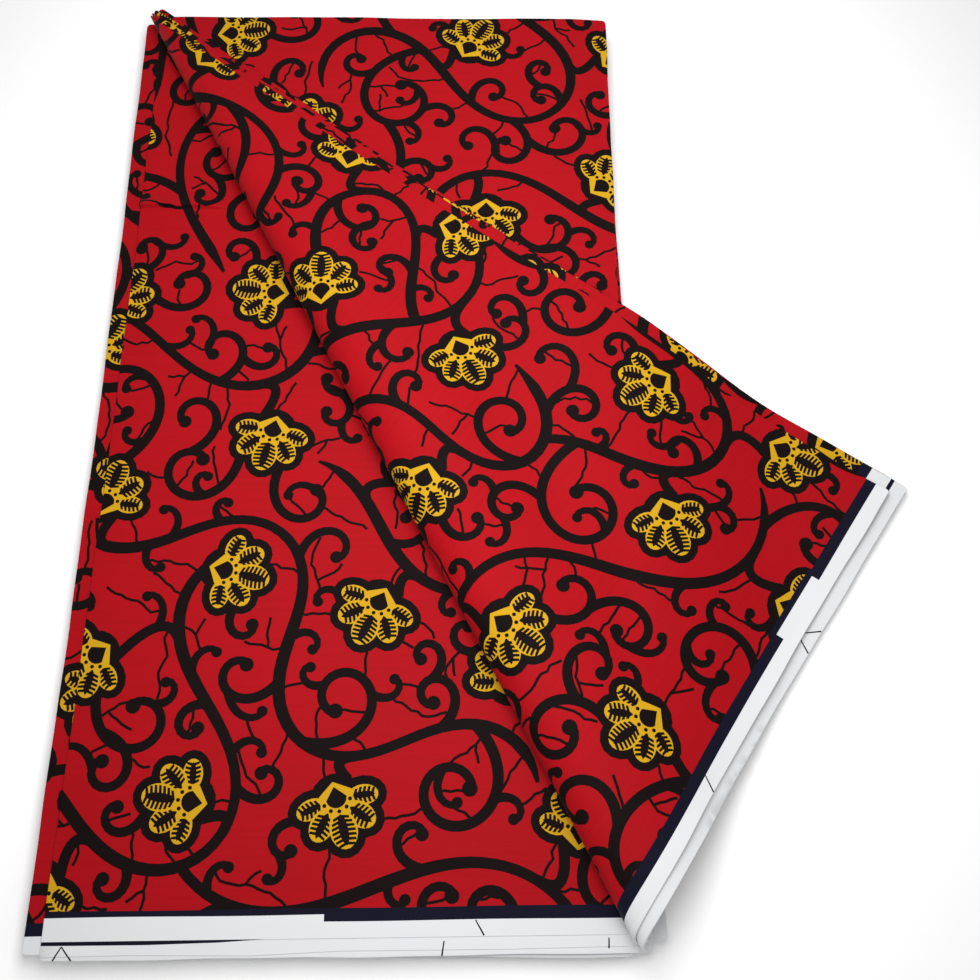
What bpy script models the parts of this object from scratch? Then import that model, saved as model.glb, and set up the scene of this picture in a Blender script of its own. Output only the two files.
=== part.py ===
"""A six-yard length of printed wax cotton, folded into a flat pack, with the lower left corner of its top
leaves turned back over a soft diagonal roll.

The cloth is doubled along its length, selvedge to selvedge, and then folded to and fro every third of a
yard. One fold of the doubled cloth is called a leaf here. Its selvedges are at the near end of the pack,
and the fold along the middle of the cloth is at the far end. x runs to the right along the selvedges, y
away from them and z up from the surface that the pack lies on.
"""

import math
import random
from collections import namedtuple

import bmesh
import bpy
from mathutils import Vector

# The pack, in metres
MM = 0.001
LEAF_WIDTH = 0.305
LEAF_LENGTH = 0.5865
FLAT_LEAF_WALL = 1.0 * MM
TURNED_LEAF_WALL = 1.2 * MM
GAP = 0.3 * MM

# The hidden leaves
HIDDEN_LEAVES = 12
HIDDEN_LEAF_THICKNESS = 0.9 * MM
HIDDEN_INSET = 3.0 * MM
HIDDEN_STRAY = 2.0 * MM
OPEN_GROOVE = 0.9 * MM
CLOSED_GROOVE = 0.2 * MM
PACK_CORNER_RADIUS = 3.0 * MM
LEAF_CORNER_RADIUS = 1.5 * MM
LEAF_EDGE_ROUNDING = 0.3 * MM
# The side of a hidden leaf is upright between these shares of its thickness
SIDE_FROM = 0.3
SIDE_TO = 0.7
# How far the middle of a quarter circle lies in from its corner, as a share of each leg
QUARTER_CIRCLE_INSET = 1.0 - math.sqrt(0.5)

# The two flat leaves that show, with the corners of each in millimetres
Leaf = namedtuple("Leaf", "name near_left near_right far_right far_left left_middle")
FLAT_LEAVES = [
    Leaf("second_leaf", (0, 2.6), (320, 9.5), (306, 584), (0, 586), (1, 300)),
    Leaf("front_leaf", (7, 0), (312.5, 4), (307, 584), (10.5, 586), (11.2, 350)),
]

# The leaves that are turned back, from the inside of the roll to its outside, with the corners that
# each had while it still lay flat, in millimetres
TURNED_LEAVES = [
    Leaf("turned_leaf_1", (9, 16), (309, 8), (308, 582.5), (3.5, 585.5), (9.5, 330)),
    Leaf("turned_leaf_2", (1, 12), (307.5, 9), (306.5, 581.5), (3, 586), (7, 330)),
    Leaf("turned_leaf_3", (-2.5, 8), (307.5, 3), (306.5, 581.5), (2.5, 586.5), (5, 330)),
    Leaf("turned_leaf_4", (2.5, 14), (307, 7), (306, 581), (2, 587), (7, 330)),
]

# The roll. Its outer left side runs straight from the far left corner of the pack to the near right one.
# Seen along that line from the near end, the inside face of the turned leaves goes through these runs:
# heading is the way the run points, with 180 to the left, 90 up and 0 to the right. far and near are its
# lengths in millimetres at the two ends of the roll. The roll is pinched at the far end, fills out as far
# as the knee and then stays nearly as full up to the near end.
FOLD_FAR = Vector((3.0 * MM, 587.5 * MM))
FOLD_NEAR = Vector((304.0 * MM, 5.0 * MM))
Run = namedtuple("Run", "heading far near")
RISING_RUNS = [
    Run(158, 0.30, 1.7),
    Run(135, 0.30, 1.7),
    Run(112, 0.30, 1.7),
    Run(88, 0.30, 1.7),
    Run(64, 0.30, 2.0),
    Run(44, 0.30, 2.4),
    Run(30, 0.40, 3.0),
    Run(20, 0.50, 3.6),
    Run(12, 0.60, 4.2),
    Run(5, 0.80, 5.0),
]
FALLING_RUNS = [
    Run(-3, 5.0, 6.0),
    Run(-9, 8.0, 10.0),
    Run(-14, 10.0, 16.0),
    Run(-14, 10.0, 16.0),
    Run(-9, 10.0, 12.0),
    Run(-4, 8.0, 8.0),
]
KNEE_PLACE = 0.4
KNEE_FULLNESS = 0.82

# The flap beyond the pack's right edge comes down to the surface over this stretch
DROOP_START = 311.0 * MM
DROOP_LENGTH = 95.0 * MM
DROOP_STEPS = 9

# Colours
RED = (0.62, 0.012, 0.018, 1.0)
PACK_RED = (0.50, 0.010, 0.016, 1.0)


def clear_scene():
    for thing in list(bpy.data.objects):
        bpy.data.objects.remove(thing, do_unlink=True)


def cloth_material(name, colour):
    """Printed cotton: matt, with a faint wax finish."""
    material = bpy.data.materials.new(name)
    material.use_nodes = True
    shader = material.node_tree.nodes["Principled BSDF"]
    shader.inputs["Base Color"].default_value = colour
    shader.inputs["Roughness"].default_value = 0.72
    shader.inputs["Metallic"].default_value = 0.0
    return material


def finished_object(name, mesh_data, colour):
    """Turns a closed bmesh into an object of its own, with its faces pointing out."""
    bmesh.ops.recalc_face_normals(mesh_data, faces=mesh_data.faces[:])
    mesh = bpy.data.meshes.new(name)
    mesh_data.to_mesh(mesh)
    mesh_data.free()
    mesh.materials.append(cloth_material(name, colour))
    leaf = bpy.data.objects.new(name, mesh)
    bpy.context.collection.objects.link(leaf)
    return leaf


def rounded_outline(corners, radius):
    """An outline with three points round each of these corners."""
    outline = []
    for index, corner in enumerate(corners):
        before = (corners[index - 1] - corner).normalized() * radius
        after = (corners[(index + 1) % len(corners)] - corner).normalized() * radius
        outline.append(corner + before)
        outline.append(corner + (before + after) * QUARTER_CIRCLE_INSET)
        outline.append(corner + after)
    return outline


def stack_of_rings(name, rings, colour):
    """A closed solid through rings, each a pair of a height and an outline, from the lowest up."""
    solid = bmesh.new()
    rows = []
    for height, outline in rings:
        rows.append([solid.verts.new((point.x, point.y, height)) for point in outline])
    solid.faces.new(list(reversed(rows[0])))
    for lower, upper in zip(rows, rows[1:]):
        for index in range(len(lower)):
            following = (index + 1) % len(lower)
            solid.faces.new((lower[index], lower[following], upper[following], upper[index]))
    solid.faces.new(rows[-1])
    return finished_object(name, solid, colour)


def side_corners(left, right, near, far):
    """The corners of a rectangle whose sides stand in from the pack's by these amounts."""
    return [
        Vector((left, near)),
        Vector((LEAF_WIDTH - right, near)),
        Vector((LEAF_WIDTH - right, LEAF_LENGTH - far)),
        Vector((left, LEAF_LENGTH - far)),
    ]


def hidden_leaf_insets():
    """How far each side of each hidden leaf stands in. Two leaves that share a fold share its place:
    the left folds join the leaves in pairs, and the right folds join each pair to the next."""
    stray = random.Random(12)
    sides = []
    for side in range(4):
        places = [HIDDEN_INSET + stray.uniform(-1, 1) * HIDDEN_STRAY for _ in range(HIDDEN_LEAVES)]
        if side < 2:
            for leaf in range(side, HIDDEN_LEAVES - 1, 2):
                places[leaf + 1] = places[leaf]
        sides.append(places)
    return sides


def make_hidden_layers():
    """The lower leaves of the pack as one rounded solid, with a groove between each leaf and the next."""
    sides = hidden_leaf_insets()
    rings = []
    for leaf in range(HIDDEN_LEAVES):
        base = leaf * HIDDEN_LEAF_THICKNESS
        insets = [places[leaf] for places in sides]
        edge = rounded_outline(side_corners(*insets), PACK_CORNER_RADIUS)
        if leaf == 0:
            foot = [inset + LEAF_EDGE_ROUNDING for inset in insets]
            rings.append((0.0, rounded_outline(side_corners(*foot), PACK_CORNER_RADIUS)))
        rings.append((base + SIDE_FROM * HIDDEN_LEAF_THICKNESS, edge))
        rings.append((base + SIDE_TO * HIDDEN_LEAF_THICKNESS, edge))
        top = base + HIDDEN_LEAF_THICKNESS
        if leaf == HIDDEN_LEAVES - 1:
            crown = [inset + LEAF_EDGE_ROUNDING for inset in insets]
            rings.append((top, rounded_outline(side_corners(*crown), PACK_CORNER_RADIUS)))
            continue
        groove = []
        for side, places in enumerate(sides):
            joined = side < 2 and leaf % 2 == side
            depth = CLOSED_GROOVE if joined else OPEN_GROOVE
            groove.append(max(places[leaf], places[leaf + 1]) + depth)
        rings.append((top, rounded_outline(side_corners(*groove), PACK_CORNER_RADIUS)))
    return stack_of_rings("hidden_layers", rings, PACK_RED)


def leaf_corners(leaf):
    return [Vector(corner) * MM for corner in leaf[1:]]


def make_flat_leaf(leaf, base):
    """A leaf that lies flat, with soft edges."""
    corners = leaf_corners(leaf)
    middle = sum(corners, Vector((0.0, 0.0))) / len(corners)
    full = rounded_outline(corners, LEAF_CORNER_RADIUS)
    soft = []
    for point in full:
        inward = middle - point
        soft.append(point + inward * (LEAF_EDGE_ROUNDING / inward.length))
    rings = [
        (base, soft),
        (base + LEAF_EDGE_ROUNDING, full),
        (base + FLAT_LEAF_WALL - LEAF_EDGE_ROUNDING, full),
        (base + FLAT_LEAF_WALL, soft),
    ]
    return stack_of_rings(leaf.name, rings, RED)


class Roll:
    """The cross-section of the roll at one end, for faces that lie outside its inside face by any
    offset. A point of it is (to the right, up), from where the inside face leaves the flat."""

    def __init__(self, end):
        rising = [(run.heading, getattr(run, end) * MM) for run in RISING_RUNS]
        falling = [(run.heading, getattr(run, end) * MM) for run in FALLING_RUNS]
        height = sum(length * math.sin(math.radians(heading)) for heading, length in rising)
        fall = -sum(length * math.sin(math.radians(heading)) for heading, length in falling)
        # The flap comes down until it lies on the pack, one gap above it.
        stretch = (height - GAP) / fall
        runs = rising + [(heading, length * stretch) for heading, length in falling]
        headings = [180] + [heading for heading, _ in runs] + [0]
        self.inside = [Vector((0.0, 0.0))]
        for heading, length in runs:
            angle = math.radians(heading)
            self.inside.append(self.inside[-1] + Vector((math.cos(angle), math.sin(angle))) * length)
        self.outward = []
        for heading, following in zip(headings, headings[1:]):
            first = self.normal(heading)
            second = self.normal(following)
            self.outward.append((first + second) / (1.0 + first.dot(second)))

    @staticmethod
    def normal(heading):
        angle = math.radians(heading)
        return Vector((-math.sin(angle), math.cos(angle)))

    def face(self, offset):
        """The corners of the face that lies this far outside."""
        return [point + out * offset for point, out in zip(self.inside, self.outward)]

    def lengths(self, offset):
        """How much cloth is used up to each corner of that face."""
        corners = self.face(offset)
        used = [0.0]
        for corner, following in zip(corners, corners[1:]):
            used.append(used[-1] + (following - corner).length)
        return used


TURNED_DEPTH = len(TURNED_LEAVES) * (TURNED_LEAF_WALL + GAP) - GAP
FOLD_LENGTH = (FOLD_NEAR - FOLD_FAR).length
FOLD_ALONG = (FOLD_NEAR - FOLD_FAR) / FOLD_LENGTH
FOLD_ACROSS = Vector((-FOLD_ALONG.y, FOLD_ALONG.x))
ROLLS = (Roll("far"), Roll("near"))
# From the roll's outer left side to where the flat cloth begins, at each end
ROLL_STARTS = [-min(corner.x for corner in roll.face(TURNED_DEPTH)) for roll in ROLLS]


def fullness(along):
    """How full the roll is at this distance along the fold: 0 at its far end and 1 at its near end."""
    share = along / FOLD_LENGTH
    if share < KNEE_PLACE:
        return KNEE_FULLNESS * share / KNEE_PLACE
    return KNEE_FULLNESS + (1.0 - KNEE_FULLNESS) * (share - KNEE_PLACE) / (1.0 - KNEE_PLACE)


def between(values, along):
    """A value at this distance along the fold, from its values at the far and the near end."""
    return values[0] + (values[1] - values[0]) * fullness(along)


def cut(mesh_data, point, direction, faces=None):
    """Cuts the faces, or else the whole mesh, along a plane."""
    if faces is None:
        faces = mesh_data.faces[:]
    edges = {edge for face in faces for edge in face.edges}
    points = {point for face in faces for point in face.verts}
    bmesh.ops.bisect_plane(
        mesh_data,
        geom=list(points) + list(edges) + faces,
        dist=1e-6,
        plane_co=point,
        plane_no=direction,
    )


def flat_pattern(leaf, middle):
    """The leaf while it still lies flat, x along the fold and y across it to the right, cut wherever
    the roll bends. middle is the offset of the leaf's middle face."""
    pattern = bmesh.new()
    corners = []
    for corner in leaf_corners(leaf):
        from_far = corner - FOLD_FAR
        place = (from_far.dot(FOLD_ALONG), from_far.dot(FOLD_ACROSS), 0.0)
        corners.append(pattern.verts.new(place))
    pattern.faces.new(corners)
    starts = [start + roll.face(middle)[0].x for start, roll in zip(ROLL_STARTS, ROLLS)]
    used = [roll.lengths(middle) for roll in ROLLS]
    knee = FOLD_LENGTH * KNEE_PLACE
    cut(pattern, (knee, 0.0, 0.0), (1.0, 0.0, 0.0))
    for low, high in ((0.0, knee), (knee, FOLD_LENGTH)):
        for bend in zip(*used):
            ends = []
            for along in (low, high):
                ends.append(Vector((along, between(starts, along) - between(bend, along), 0.0)))
            line = ends[1] - ends[0]
            stretch = [face for face in pattern.faces
                       if (face.calc_center_median().x < knee) == (high == knee)]
            cut(pattern, ends[0], (-line.y, line.x, 0.0), stretch)
    return pattern, starts, used


def folded_place(flat, starts, used, offset, base):
    """Where a point of the flat pattern goes on the face with this offset. base is the height of the
    inside face where it is flat."""
    along = flat.x
    cloth = between(starts, along) - flat.y
    if cloth <= 0.0:
        across = flat.y
        height = base - offset
    else:
        corners = [roll.face(offset) for roll in ROLLS]
        lengths = [between(pair, along) for pair in zip(*used)]
        run = 0
        while run < len(lengths) - 2 and cloth > lengths[run + 1]:
            run += 1
        first = between([row[run] for row in corners], along)
        second = between([row[run + 1] for row in corners], along)
        if cloth > lengths[-1]:
            spot = second + Vector((cloth - lengths[-1], 0.0))
        else:
            spot = first.lerp(second, (cloth - lengths[run]) / (lengths[run + 1] - lengths[run]))
        across = between(ROLL_STARTS, along) + spot.x
        height = base + spot.y
    ground = FOLD_FAR + FOLD_ALONG * along + FOLD_ACROSS * across
    return Vector((ground.x, ground.y, height))


def droop(x):
    """How far the flap has come down at x, as a share of the way to the surface, in straight steps."""
    step = min(max((x - DROOP_START) / DROOP_LENGTH, 0.0), 1.0) * DROOP_STEPS
    before = min(int(step), DROOP_STEPS - 1)
    shares = [number / DROOP_STEPS for number in (before, before + 1)]
    heights = [share * share * (3.0 - 2.0 * share) for share in shares]
    return heights[0] + (heights[1] - heights[0]) * (step - before)


def make_turned_leaf(leaf, number, base):
    """A leaf that lies flat on the right, goes round the roll and lies back over itself as the flap.
    base is the height of the roll's inside face where it lies flat."""
    inner = number * (TURNED_LEAF_WALL + GAP)
    outer = inner + TURNED_LEAF_WALL
    pattern, starts, used = flat_pattern(leaf, (inner + outer) / 2)
    solid = bmesh.new()
    faces = []
    for offset in (inner, outer):
        places = {}
        for point in pattern.verts:
            places[point] = solid.verts.new(folded_place(point.co, starts, used, offset, base))
        faces.append(places)
    inside, outside = faces
    for face in pattern.faces:
        solid.faces.new([inside[point] for point in face.verts])
        solid.faces.new([outside[point] for point in reversed(face.verts)])
    for edge in pattern.edges:
        if edge.is_boundary:
            one, other = edge.verts
            solid.faces.new((inside[one], inside[other], outside[other], outside[one]))
    pattern.free()
    for step in range(DROOP_STEPS + 1):
        place = DROOP_START + DROOP_LENGTH * step / DROOP_STEPS
        cut(solid, (place, 0.0, 0.0), (1.0, 0.0, 0.0))
    for point in solid.verts:
        point.co.z -= droop(point.co.x) * (base + GAP)
    return finished_object(leaf.name, solid, RED)


def centre_on_origin(objects):
    """Puts the origin under the middle of the whole cloth."""
    points = [point.co for thing in objects for point in thing.data.vertices]
    middle_x = (min(point.x for point in points) + max(point.x for point in points)) / 2
    middle_y = (min(point.y for point in points) + max(point.y for point in points)) / 2
    lowest = min(point.z for point in points)
    for thing in objects:
        for point in thing.data.vertices:
            point.co -= Vector((middle_x, middle_y, lowest))


def main():
    clear_scene()
    cloth = [make_hidden_layers()]
    height = HIDDEN_LEAVES * HIDDEN_LEAF_THICKNESS + GAP
    for leaf in FLAT_LEAVES:
        cloth.append(make_flat_leaf(leaf, height))
        height += FLAT_LEAF_WALL + GAP
    inside_face = height + TURNED_DEPTH
    for number, leaf in enumerate(TURNED_LEAVES):
        cloth.append(make_turned_leaf(leaf, number, inside_face))
    centre_on_origin(cloth)


main()
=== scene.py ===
"""A six-yard length of printed wax cotton, folded into a flat pack, with the lower left corner of its top
leaves turned back over a soft diagonal roll.

One fold of the doubled cloth is called a leaf. Its selvedges are at the near end of the pack and the fold
along the middle of the cloth is at the far end. Flat places on a leaf are in millimetres: x to the right
along the selvedge and y away from it.
"""

import math
import random
from collections import namedtuple

import bpy
import numpy as np
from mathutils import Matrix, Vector, geometry, noise


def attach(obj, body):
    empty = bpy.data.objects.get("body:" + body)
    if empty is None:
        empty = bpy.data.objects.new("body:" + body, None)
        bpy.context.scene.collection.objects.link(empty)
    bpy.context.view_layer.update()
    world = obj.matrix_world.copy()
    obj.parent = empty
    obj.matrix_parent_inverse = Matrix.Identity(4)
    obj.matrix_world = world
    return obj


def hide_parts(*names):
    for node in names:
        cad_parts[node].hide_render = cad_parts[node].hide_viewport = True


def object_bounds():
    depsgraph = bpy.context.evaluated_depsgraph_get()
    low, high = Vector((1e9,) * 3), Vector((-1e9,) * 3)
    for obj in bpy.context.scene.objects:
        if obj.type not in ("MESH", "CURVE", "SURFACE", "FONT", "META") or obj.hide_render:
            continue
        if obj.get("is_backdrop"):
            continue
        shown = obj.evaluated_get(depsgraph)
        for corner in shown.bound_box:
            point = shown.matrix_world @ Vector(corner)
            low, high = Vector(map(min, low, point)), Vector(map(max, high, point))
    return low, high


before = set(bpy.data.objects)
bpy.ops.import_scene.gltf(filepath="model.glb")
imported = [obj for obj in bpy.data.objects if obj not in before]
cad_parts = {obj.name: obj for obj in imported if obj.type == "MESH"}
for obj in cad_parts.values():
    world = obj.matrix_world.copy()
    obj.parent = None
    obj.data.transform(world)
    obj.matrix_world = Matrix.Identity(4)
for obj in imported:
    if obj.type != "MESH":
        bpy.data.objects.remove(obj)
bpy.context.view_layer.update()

# The lower leaves of the pack
# Twelve leaves of doubled cotton, folded to and fro, lie under the ones that show. Only their edges are
# seen: soft printed folds at the left, right and far sides, and the cut white selvedges at the near end.

MM = 0.001
PACK_MIDDLE = Vector((236.5, 294.9))
LEAF_WIDTH = 305.0
LEAF_LENGTH = 586.5
HIDDEN_LEAVES = 12
HIDDEN_LEAF_THICKNESS = 0.9
HIDDEN_INSET = 3.0
HIDDEN_STRAY = 2.0
HIDDEN_CORNER_RADIUS = 4.0
HIDDEN_HEIGHT = HIDDEN_LEAVES * HIDDEN_LEAF_THICKNESS
HIDDEN_SWAY = 0.9
OUTLINE_STEP = 6.0
# The selvedge bands round the ends of the folds, counted from the near end
NAVY_START = 9.0
NAVY_END = 16.0

# The print's five colours, in the order of their material slots
RED, BLACK, YELLOW, NAVY, WHITE = range(5)
Dye = namedtuple("Dye", "name colour roughness")
DYES = [
    Dye("red_ground", (0.343, 0.0017, 0.0054), 0.66),
    Dye("black_line", (0.0040, 0.0011, 0.0011), 0.70),
    Dye("yellow_petal", (0.50, 0.278, 0.0072), 0.66),
    Dye("navy_band", (0.0043, 0.0039, 0.0134), 0.70),
    Dye("white_selvedge", (0.641, 0.650, 0.663), 0.80),
]
DEEPER_RED = (0.305, 0.0014, 0.0048, 1.0)
THREAD_SPACING = 0.45
THREAD_RELIEF = 0.06
GLOSS_UNEVENNESS = 0.06
# A wave texture of scale 1 repeats after this length
WAVE_REPEAT = 0.314


def new_object(name, data):
    made = bpy.data.objects.new(name, data)
    bpy.context.collection.objects.link(made)
    return made


def add_node(tree, kind, sockets=None, **settings):
    """Adds a shader node with these settings, and with these values on its sockets."""
    node = tree.nodes.new(kind)
    for name, value in settings.items():
        setattr(node, name, value)
    for name, value in (sockets or {}).items():
        node.inputs[name].default_value = value
    return node


def dyed_cotton(dye, slot):
    """Plain-woven cotton in one of the print's colours: matt, with the threads as a fine relief that
    follows the cloth's own UV map, in metres."""
    material = bpy.data.materials.new(slot + "_" + dye.name)
    material.use_nodes = True
    tree = material.node_tree
    link = tree.links.new
    shader = tree.nodes["Principled BSDF"]
    shader.inputs["Base Color"].default_value = (*dye.colour, 1.0)
    shader.inputs["Specular IOR Level"].default_value = 0.08
    shader.inputs["Sheen Weight"].default_value = 0.02
    shader.inputs["Sheen Roughness"].default_value = 0.45
    place = add_node(tree, "ShaderNodeUVMap", uv_map="Cloth")
    in_mm = add_node(tree, "ShaderNodeMapping", {"Scale": (1000.0, 1000.0, 1.0)})
    link(place.outputs["UV"], in_mm.inputs["Vector"])
    weave = add_node(tree, "ShaderNodeMath", operation="MAXIMUM")
    for number, direction in enumerate(("X", "Y")):
        threads = {"Scale": WAVE_REPEAT / THREAD_SPACING, "Distortion": 1.2, "Detail": 1.0}
        wave = add_node(tree, "ShaderNodeTexWave", threads, bands_direction=direction)
        link(in_mm.outputs["Vector"], wave.inputs["Vector"])
        link(wave.outputs["Fac"], weave.inputs[number])
    relief = add_node(tree, "ShaderNodeBump", {"Strength": 0.22, "Distance": THREAD_RELIEF * MM})
    link(weave.outputs["Value"], relief.inputs["Height"])
    link(relief.outputs["Normal"], shader.inputs["Normal"])
    # the wax leaves the finish uneven
    patches = add_node(tree, "ShaderNodeTexNoise", {"Scale": 0.03, "Detail": 3.0})
    link(in_mm.outputs["Vector"], patches.inputs["Vector"])
    gloss = add_node(tree, "ShaderNodeMapRange", {
        "To Min": dye.roughness - GLOSS_UNEVENNESS,
        "To Max": dye.roughness + GLOSS_UNEVENNESS,
    })
    link(patches.outputs["Fac"], gloss.inputs["Value"])
    link(gloss.outputs["Result"], shader.inputs["Roughness"])
    if dye.name == "red_ground":
        # the ground takes the dye unevenly, in long faint streaks along the threads
        stretched = add_node(tree, "ShaderNodeMapping", {"Scale": (12.0, 420.0, 1.0)})
        link(place.outputs["UV"], stretched.inputs["Vector"])
        streaks = add_node(tree, "ShaderNodeTexNoise", {"Scale": 1.0, "Detail": 4.0})
        link(stretched.outputs["Vector"], streaks.inputs["Vector"])
        half = add_node(tree, "ShaderNodeMath", {1: 0.5}, operation="MULTIPLY")
        link(patches.outputs["Fac"], half.inputs[0])
        both = add_node(tree, "ShaderNodeMath", {1: 0.5}, operation="MULTIPLY_ADD")
        link(streaks.outputs["Fac"], both.inputs[0])
        link(half.outputs["Value"], both.inputs[2])
        shades = add_node(tree, "ShaderNodeValToRGB")
        deep, full = shades.color_ramp.elements
        deep.position, deep.color = 0.35, DEEPER_RED
        full.position, full.color = 0.65, (*dye.colour, 1.0)
        link(both.outputs["Value"], shades.inputs["Fac"])
        link(shades.outputs["Color"], shader.inputs["Base Color"])
    return material


# Faces that meet at less than this angle, in degrees, are shaded as one smooth surface
SMOOTH_BELOW = 50


def cloth_object(name, points, faces, colours, flat_places):
    """A piece of cloth in the shared frame. points are in millimetres from the pack's near left corner,
    colours has one dye for each face, and flat_places has each point's place on the unfolded leaf."""
    centred = np.array(points, float)
    centred[:, 0] -= PACK_MIDDLE.x
    centred[:, 1] -= PACK_MIDDLE.y
    mesh = bpy.data.meshes.new(name)
    mesh.from_pydata((centred * MM).tolist(), [], faces)
    for dye in DYES:
        mesh.materials.append(dyed_cotton(dye, name))
    mesh.polygons.foreach_set("material_index", np.array(colours, np.int32))
    corners = np.empty(len(mesh.loops), np.int32)
    mesh.loops.foreach_get("vertex_index", corners)
    places = np.array(flat_places, float)[corners] * MM
    mesh.uv_layers.new(name="Cloth").data.foreach_set("uv", places.astype(np.float32).ravel())
    mesh.validate()
    piece = new_object(name, mesh)
    bpy.ops.object.select_all(action="DESELECT")
    piece.select_set(True)
    bpy.context.view_layer.objects.active = piece
    bpy.ops.object.shade_smooth_by_angle(angle=math.radians(SMOOTH_BELOW))
    return piece


def eased(share):
    """A share from 0 to 1 that starts and ends gently, and stays at 0 or 1 beyond."""
    share = np.clip(share, 0.0, 1.0)
    return share * share * (3.0 - 2.0 * share)


# How uneven the pack's top is, in broad and in narrow waves, and how far it sinks along its folds
BROAD_WAVE = 0.45
NARROW_WAVE = 0.25
FOLD_SINK = 1.1


def settled(x, y):
    """How far the pack's top stands above or below the level, in millimetres. It is soft: slightly
    uneven all over, and lower along the folds at its left and right."""
    wave = BROAD_WAVE * np.sin(x / 47.0 + y / 160.0 + 0.6) * np.sin(y / 83.0 - x / 210.0)
    wave = wave + NARROW_WAVE * np.sin(x / 23.0 - y / 61.0)
    soft = eased((x + 2.0) / 34.0) * eased((312.0 - x) / 30.0)
    return wave * soft - FOLD_SINK * (1.0 - soft)


def hidden_outline(left, right, near, far, phase):
    """The edge of one hidden leaf from its near left corner, slightly wavy, with rounded corners."""
    low_x, high_x = left, LEAF_WIDTH - right
    low_y, high_y = near, LEAF_LENGTH - far
    radius = HIDDEN_CORNER_RADIUS
    in_left, in_right = low_x + radius, high_x - radius
    in_near, in_far = low_y + radius, high_y - radius
    # each side's start and end, and the middle of the rounded corner after it
    sides = [
        ((in_left, low_y), (in_right, low_y), (in_right, in_near)),
        ((high_x, in_near), (high_x, in_far), (in_right, in_far)),
        ((in_right, high_y), (in_left, high_y), (in_left, in_far)),
        ((low_x, in_far), (low_x, in_near), (in_left, in_near)),
    ]
    points = []
    for number, places in enumerate(sides):
        start, end, pivot = [Vector(place) for place in places]
        turn = 90 * number - 90
        steps = int((LEAF_LENGTH if number % 2 else LEAF_WIDTH) / OUTLINE_STEP)
        out = Vector((math.cos(math.radians(turn)), math.sin(math.radians(turn))))
        for step in range(steps + 1):
            spot = start.lerp(end, step / steps)
            sway = noise.noise(Vector((spot.x / 60.0, spot.y / 60.0, phase)))
            calm = min(1.0, step / 3, (steps - step) / 3)
            points.append(spot + out * sway * HIDDEN_SWAY * calm)
        for turned_by in (30, 60):
            angle = math.radians(turn + turned_by)
            points.append(pivot + Vector((math.cos(angle), math.sin(angle))) * radius)
    return points


# How far each leaf stands in from the leaf's full size: at its left, right, near and far side. The cloth
# goes to and fro, so at the left and the right two leaves in turn share one fold.
chance = random.Random(12)
hidden_sides = []
for side in range(4):
    stands_in = [HIDDEN_INSET + chance.uniform(-1, 1) * HIDDEN_STRAY for _ in range(HIDDEN_LEAVES)]
    if side < 2:
        for leaf in range(side, HIDDEN_LEAVES - 1, 2):
            stands_in[leaf + 1] = stands_in[leaf]
    hidden_sides.append(stands_in)

# Each leaf's edge as steps of height, as a share of its thickness, and of distance inwards
EdgeStep = namedtuple("EdgeStep", "height inwards")
LEAF_EDGE = [
    EdgeStep(0.00, 0.75),
    EdgeStep(0.10, 0.25),
    EdgeStep(0.28, 0.02),
    EdgeStep(0.44, 0.10),
    EdgeStep(0.50, 0.40),
    EdgeStep(0.56, 0.10),
    EdgeStep(0.72, 0.02),
    EdgeStep(0.90, 0.25),
]
# On the steep edge the map of the threads runs on by this much for each millimetre of height
EDGE_SPREAD = 3.0
# A point this near to a side moves fully away from it, and less the nearer it is to the leaf's middle
EDGE_MARGIN = 6.0
hidden_points = []
hidden_places = []
ring_sizes = []
leaf_of_ring = []
for leaf in range(HIDDEN_LEAVES):
    steps = LEAF_EDGE + ([EdgeStep(1.0, 0.75)] if leaf == HIDDEN_LEAVES - 1 else [])
    ring = hidden_outline(*[places[leaf] for places in hidden_sides], leaf * 0.37)
    middle = Vector((LEAF_WIDTH / 2, LEAF_LENGTH / 2))
    for step in steps:
        for point in ring:
            inward = Vector((
                max(-1.0, min(1.0, (middle.x - point.x) / (LEAF_WIDTH / 2 - EDGE_MARGIN))),
                max(-1.0, min(1.0, (middle.y - point.y) / (LEAF_LENGTH / 2 - EDGE_MARGIN))),
            ))
            place = point + inward * step.inwards
            height = (leaf + step.height) * HIDDEN_LEAF_THICKNESS
            share = height / HIDDEN_HEIGHT
            lift = settled(place.x, place.y) * share * share
            hidden_points.append((place.x, place.y, max(0.0, height + lift)))
            hidden_places.append((place.x + height * EDGE_SPREAD, place.y + height * EDGE_SPREAD))
        ring_sizes.append(len(ring))
        leaf_of_ring.append(leaf)

# The print on the folds comes as runs of one dye, which is drawn with these chances
EDGE_DYES = (RED, BLACK, YELLOW)
EDGE_CHANCES = (0.60, 0.36, 0.04)
LONGEST_RED_RUN = 5
LONGEST_OTHER_RUN = 3

around = ring_sizes[0]
hidden_faces = []
hidden_colours = []
for ring in range(len(ring_sizes) - 1):
    edge_chance = random.Random(100 + leaf_of_ring[ring])
    colour = RED
    left_over = 0
    for index in range(around):
        following = (index + 1) % around
        low, high = ring * around, (ring + 1) * around
        hidden_faces.append((low + index, low + following, high + following, high + index))
        if left_over == 0:
            colour = edge_chance.choices(EDGE_DYES, EDGE_CHANCES)[0]
            left_over = edge_chance.randint(1, LONGEST_RED_RUN if colour == RED else LONGEST_OTHER_RUN)
        left_over -= 1
        from_end = (hidden_points[low + index][1] + hidden_points[low + following][1]) / 2
        if from_end < NAVY_START:
            hidden_colours.append(WHITE)
        else:
            hidden_colours.append(NAVY if from_end < NAVY_END else colour)

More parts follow.
